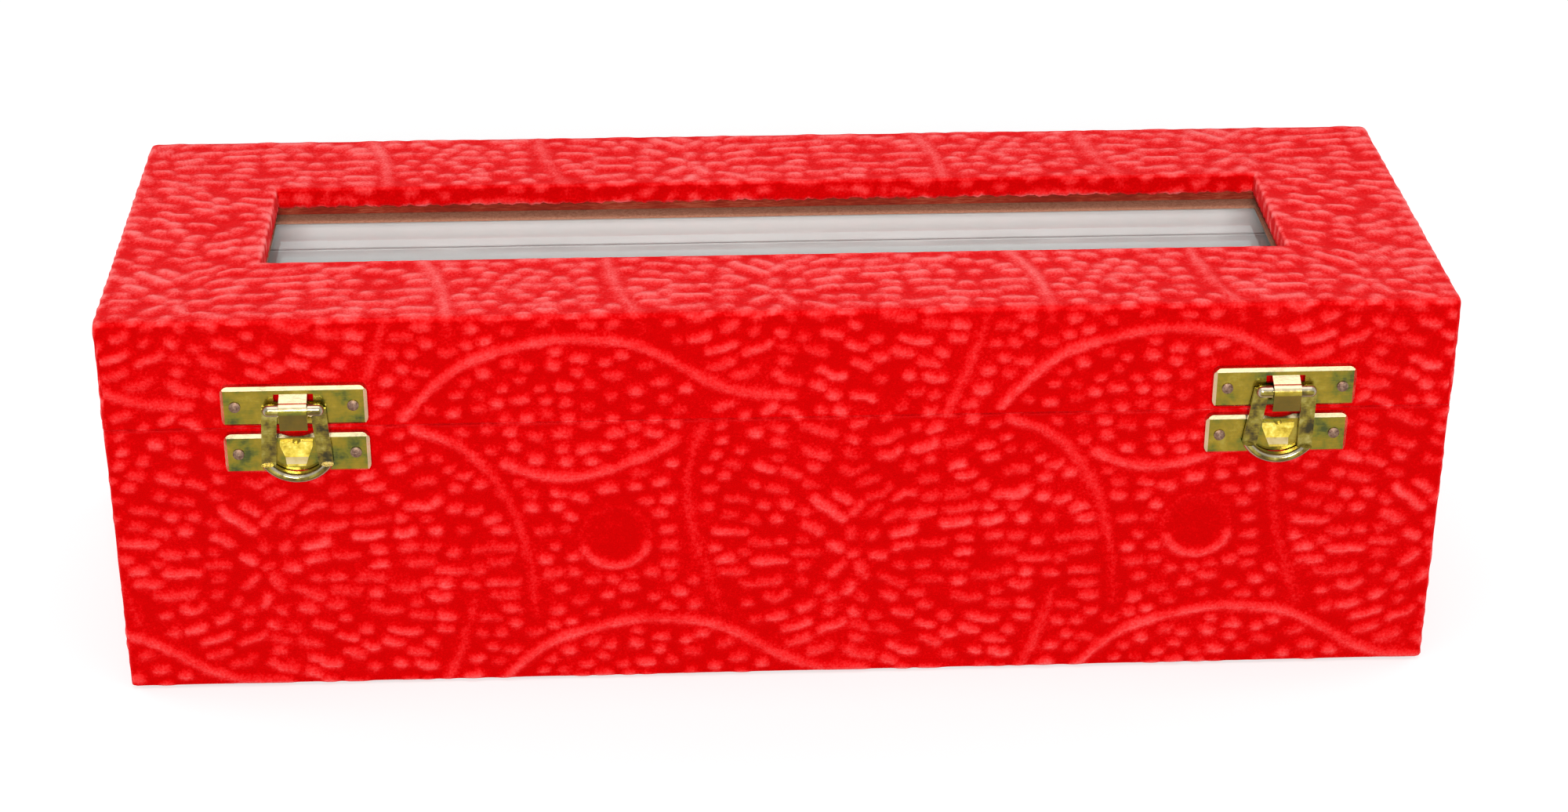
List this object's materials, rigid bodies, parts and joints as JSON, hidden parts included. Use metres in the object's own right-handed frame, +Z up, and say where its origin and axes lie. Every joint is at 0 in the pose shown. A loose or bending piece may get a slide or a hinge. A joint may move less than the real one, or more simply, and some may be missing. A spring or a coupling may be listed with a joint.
{
  "type": "bangle box",
  "caption": "Velvet-covered bangle box with a hinged window lid, two snap hasps and a padded roll that lifts out of notched cradles.",
  "frame": {"origin": "middle of the flat underside", "axes": "+X along the length to the right seen from the front, -Y out of the front with the hasps, +Z up"},
  "size_m": [0.3, 0.11, 0.094],
  "materials": {
    "velvet": "embossed crushed velvet",
    "satin": "off-white satin",
    "board": "raw fibreboard",
    "card": "plain",
    "backing_paper": "matte",
    "foam": "soft foam",
    "dowel": "bare turned wood",
    "brass_plate": "bright plated",
    "brass_tongue": "polished",
    "nail": "dull",
    "clear_pane": "clear sheet"
  },
  "bodies": {
    "base": {"base_paper": "backing_paper", "base_floor": "board", "base_front_panel": "board", "base_back_panel": "board", "base_left_end": "board", "base_right_end": "board", "base_velvet": "velvet", "base_lining": "satin", "floor_pad": "satin", "rod_cradle_left": "satin", "rod_cradle_right": "satin", "keeper_plate_left": "brass_plate", "keeper_plate_right": "brass_plate", "keeper_tongue_left": "brass_tongue", "keeper_tongue_right": "brass_tongue", "keeper_nails": "nail", "hinge_base_leaf_left": "brass_plate", "hinge_base_leaf_right": "brass_plate", "hinge_pins": "nail", "hinge_base_nails": "nail"},
    "lid": {"lid_top_panel": "board", "lid_front_rail": "board", "lid_back_rail": "board", "lid_left_end": "board", "lid_right_end": "board", "lid_velvet": "velvet", "window_pane": "clear_pane", "pane_frame": "card", "lid_wall_lining": "satin", "lid_top_lining": "satin", "catch_plate_left": "brass_plate", "catch_plate_right": "brass_plate", "catch_nails": "nail", "hinge_lid_leaf_left": "brass_plate", "hinge_lid_leaf_right": "brass_plate", "hinge_lid_nails": "nail"},
    "hasp_left": {"hasp_loop_left": "brass_plate"},
    "hasp_right": {"hasp_loop_right": "brass_plate"},
    "rod": {"rod_dowel": "dowel"},
    "roll": {"roll_tube": "card", "roll_disc_left": "dowel", "roll_disc_right": "dowel", "roll_padding": "foam", "roll_sleeve": "satin"}
  },
  "joints": [
    {"name": "lid_hinge", "type": "hinge", "parent": "base", "child": "lid", "pos_m": [0, 0.0523, 0.0675], "axis": [-1, 0, 0], "range_deg": [0, 180]},
    {"name": "hasp_left_swing", "type": "hinge", "parent": "lid", "child": "hasp_left", "pos_m": [-0.1075, -0.0537, 0.0738], "axis": [-1, 0, 0], "range_deg": [0, 180], "deforming": ["keeper_tongue_left"]},
    {"name": "hasp_right_swing", "type": "hinge", "parent": "lid", "child": "hasp_right", "pos_m": [0.1115, -0.0537, 0.0738], "axis": [-1, 0, 0], "range_deg": [0, 180], "deforming": ["keeper_tongue_right"]},
    {"name": "rod_lift", "type": "slide", "parent": "base", "child": "rod", "axis": [0, 0, 1], "range_m": [0, 0.0075]},
    {"name": "roll_turn", "type": "hinge", "parent": "rod", "child": "roll", "pos_m": [0, 0, 0.056], "axis": [1, 0, 0], "continuous": true}
  ]
}
